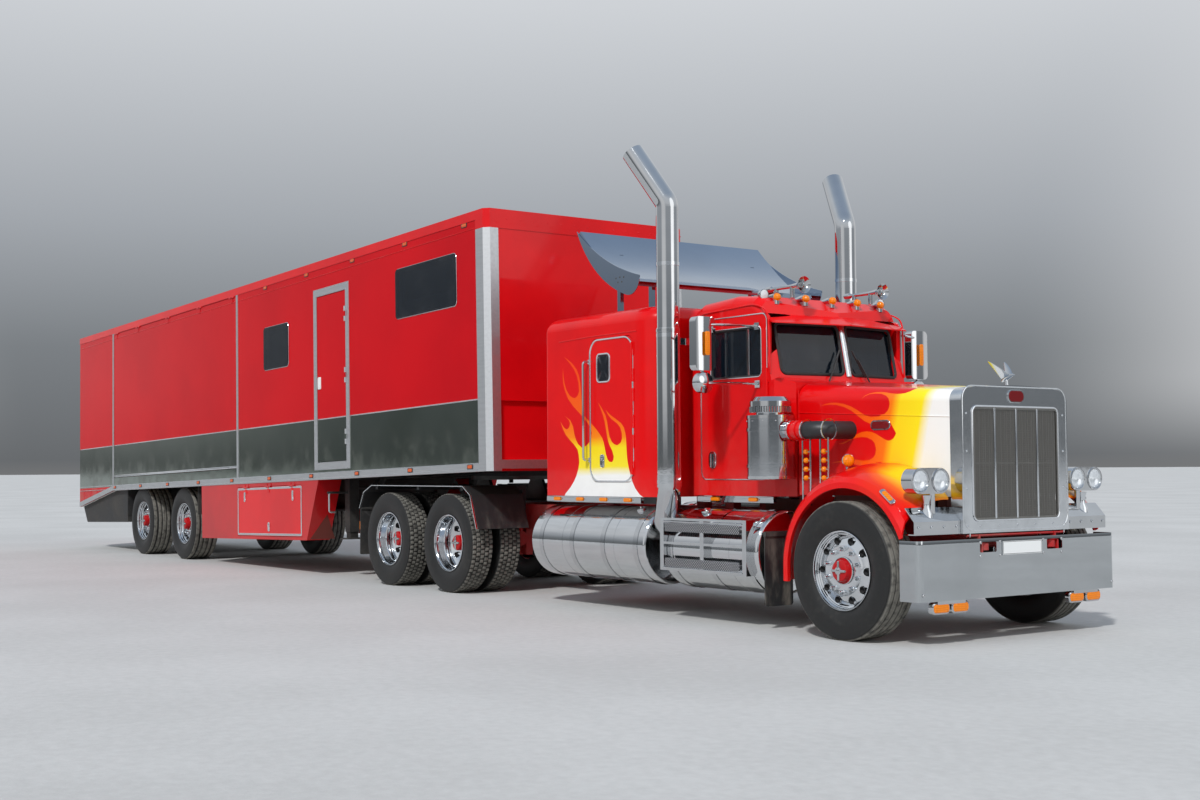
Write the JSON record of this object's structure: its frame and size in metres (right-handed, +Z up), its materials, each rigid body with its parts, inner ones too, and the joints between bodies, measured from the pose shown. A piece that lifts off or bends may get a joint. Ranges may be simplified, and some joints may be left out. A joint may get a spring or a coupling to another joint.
{
  "type": "articulated tractor and box semi-trailer",
  "caption": "Long-nose sleeper tractor coupled to a box semi-trailer, with rolling wheels, steering, tilting hood, doors, side flap and rear ramp.",
  "frame": {"origin": "on the road, in the middle of the rig's overall length and width", "axes": "+X forward, +Y to the rig's left, +Z up; the trailer stands straight behind the tractor"},
  "size_m": [19.4728, 2.785, 4.1877],
  "materials": {
    "red_paint": "gloss clear coat",
    "flame_paint": "gloss clear coat, white to yellow to orange to red flames",
    "frame_paint": "satin black",
    "cast_parts": "painted castings",
    "polished": "mirror polished",
    "chrome": "mirror",
    "steel": "brushed",
    "glass": "tinted",
    "tyre_rubber": "matt with treaded crown",
    "seat_leather": "soft sheen",
    "floor_wood": "oiled boards"
  },
  "bodies": {
    "tractor": {"chassis_frame": "frame_paint", "front_brackets": "frame_paint", "engine_and_radiator": "cast_parts", "front_axle": "cast_parts", "drive_axles": "cast_parts", "suspension": "frame_paint", "fifth_wheel": "steel", "cab_shell": "red_paint", "windshield_glass": "glass", "cab_interior": "seat_leather", "sleeper_shell": "flame_paint", "air_cleaners": "chrome", "front_bumper": "chrome", "exhaust_stacks": "chrome", "fuel_tanks": "polished", "tank_straps_and_steps": "steel", "tow_eyes": "frame_paint", "mudguards_and_flaps": "polished", "wind_deflector": "polished", "lamps_and_horns": "chrome"},
    "knuckle_right": {"steering_knuckle_right": "cast_parts"},
    "knuckle_left": {"steering_knuckle_left": "cast_parts"},
    "hood": {"hood_panels": "flame_paint", "fenders": "red_paint", "grille_shell": "chrome", "grille_bars": "chrome", "headlights": "chrome", "intake_ducts": "red_paint"},
    "door_right": {"cab_door_right": "red_paint", "door_glass_right": "glass", "mirrors_right": "chrome"},
    "door_left": {"cab_door_left": "red_paint", "door_glass_left": "glass", "mirrors_left": "chrome"},
    "sleeper_door": {"sleeper_door": "red_paint"},
    "trailer": {"trailer_chassis": "frame_paint", "trailer_floor": "floor_wood", "trailer_wall_right": "red_paint", "trailer_wall_left": "red_paint", "trailer_front_wall": "red_paint", "trailer_roof": "red_paint", "trailer_trim": "polished", "trailer_windows": "glass", "trailer_axles": "cast_parts", "trailer_toolboxes": "red_paint", "landing_gear": "steel"},
    "side_door": {"trailer_door": "red_paint"},
    "side_flap": {"trailer_side_flap": "red_paint"},
    "toolbox_hatch": {"toolbox_hatch": "red_paint"},
    "rear_ramp": {"trailer_ramp": "red_paint"},
    "wheel_front_right": {"wheel_front_right": "tyre_rubber"},
    "wheel_front_left": {"wheel_front_left": "tyre_rubber"},
    "wheel_drive_1_right": {"wheel_drive_1_right": "tyre_rubber"},
    "wheel_drive_1_left": {"wheel_drive_1_left": "tyre_rubber"},
    "wheel_drive_2_right": {"wheel_drive_2_right": "tyre_rubber"},
    "wheel_drive_2_left": {"wheel_drive_2_left": "tyre_rubber"},
    "wheel_trailer_1_right": {"wheel_trailer_1_right": "tyre_rubber"},
    "wheel_trailer_1_left": {"wheel_trailer_1_left": "tyre_rubber"},
    "wheel_trailer_2_right": {"wheel_trailer_2_right": "tyre_rubber"},
    "wheel_trailer_2_left": {"wheel_trailer_2_left": "tyre_rubber"}
  },
  "joints": [
    {"name": "articulation", "type": "hinge", "parent": "tractor", "child": "trailer", "pos_m": [2.46543, 0, 1.235], "axis": [0, 0, 1], "range_deg": [-90, 90]},
    {"name": "steer_right", "type": "hinge", "parent": "tractor", "child": "knuckle_right", "pos_m": [8.98043, -0.86, 0.525], "axis": [0, 0, 1], "range_deg": [-35, 35]},
    {"name": "steer_left", "type": "hinge", "parent": "tractor", "child": "knuckle_left", "pos_m": [8.98043, 0.86, 0.525], "axis": [0, 0, 1], "range_deg": [-35, 35]},
    {"name": "roll_front_right", "type": "hinge", "parent": "knuckle_right", "child": "wheel_front_right", "pos_m": [8.98043, -1.04, 0.525], "axis": [0, 1, 0], "continuous": true},
    {"name": "roll_front_left", "type": "hinge", "parent": "knuckle_left", "child": "wheel_front_left", "pos_m": [8.98043, 1.04, 0.525], "axis": [0, 1, 0], "continuous": true},
    {"name": "roll_drive_1_right", "type": "hinge", "parent": "tractor", "child": "wheel_drive_1_right", "pos_m": [3.14043, -0.93, 0.525], "axis": [0, 1, 0], "continuous": true},
    {"name": "roll_drive_1_left", "type": "hinge", "parent": "tractor", "child": "wheel_drive_1_left", "pos_m": [3.14043, 0.93, 0.525], "axis": [0, 1, 0], "continuous": true},
    {"name": "roll_drive_2_right", "type": "hinge", "parent": "tractor", "child": "wheel_drive_2_right", "pos_m": [1.79043, -0.93, 0.525], "axis": [0, 1, 0], "continuous": true},
    {"name": "roll_drive_2_left", "type": "hinge", "parent": "tractor", "child": "wheel_drive_2_left", "pos_m": [1.79043, 0.93, 0.525], "axis": [0, 1, 0], "continuous": true},
    {"name": "roll_trailer_1_right", "type": "hinge", "parent": "trailer", "child": "wheel_trailer_1_right", "pos_m": [-4.81867, -1.03, 0.53], "axis": [0, 1, 0], "continuous": true},
    {"name": "roll_trailer_1_left", "type": "hinge", "parent": "trailer", "child": "wheel_trailer_1_left", "pos_m": [-4.81867, 1.03, 0.53], "axis": [0, 1, 0], "continuous": true},
    {"name": "roll_trailer_2_right", "type": "hinge", "parent": "trailer", "child": "wheel_trailer_2_right", "pos_m": [-6.62921, -1.03, 0.53], "axis": [0, 1, 0], "continuous": true},
    {"name": "roll_trailer_2_left", "type": "hinge", "parent": "trailer", "child": "wheel_trailer_2_left", "pos_m": [-6.62921, 1.03, 0.53], "axis": [0, 1, 0], "continuous": true},
    {"name": "hood_tilt", "type": "hinge", "parent": "tractor", "child": "hood", "pos_m": [9.68043, 0, 0.79], "axis": [0, 1, 0], "range_deg": [0, 60]},
    {"name": "door_right_swing", "type": "hinge", "parent": "tractor", "child": "door_right", "pos_m": [7.77243, -0.8095, 1.9], "axis": [0, 0, 1], "range_deg": [0, 65]},
    {"name": "door_left_swing", "type": "hinge", "parent": "tractor", "child": "door_left", "pos_m": [7.77243, 0.8095, 1.9], "axis": [0, 0, -1], "range_deg": [0, 65]},
    {"name": "sleeper_door_swing", "type": "hinge", "parent": "tractor", "child": "sleeper_door", "pos_m": [6.31243, -1.1295, 1.85], "axis": [0, 0, 1], "range_deg": [0, 90]},
    {"name": "side_door_swing", "type": "hinge", "parent": "trailer", "child": "side_door", "pos_m": [0.83359, -1.3065, 2.43048], "axis": [-0.0244, 0, 0.9997], "range_deg": [0, 110]},
    {"name": "side_flap_lift", "type": "hinge", "parent": "trailer", "child": "side_flap", "pos_m": [-5.29499, -1.2995, 3.64811], "axis": [-0.9997, 0, -0.0244], "range_deg": [0, 90]},
    {"name": "toolbox_hatch_lift", "type": "hinge", "parent": "trailer", "child": "toolbox_hatch", "pos_m": [-1.46164, -1.2995, 1.102], "axis": [-0.9997, 0, -0.0244], "range_deg": [0, 100]},
    {"name": "rear_ramp_drop", "type": "hinge", "parent": "trailer", "child": "rear_ramp", "pos_m": [-9.67669, 0, 0.81952], "axis": [0, -1, 0], "range_deg": [0, 100]}
  ],
  "couplings": [
    {"joint": "steer_left", "follows": "steer_right", "ratio": 1}
  ]
}
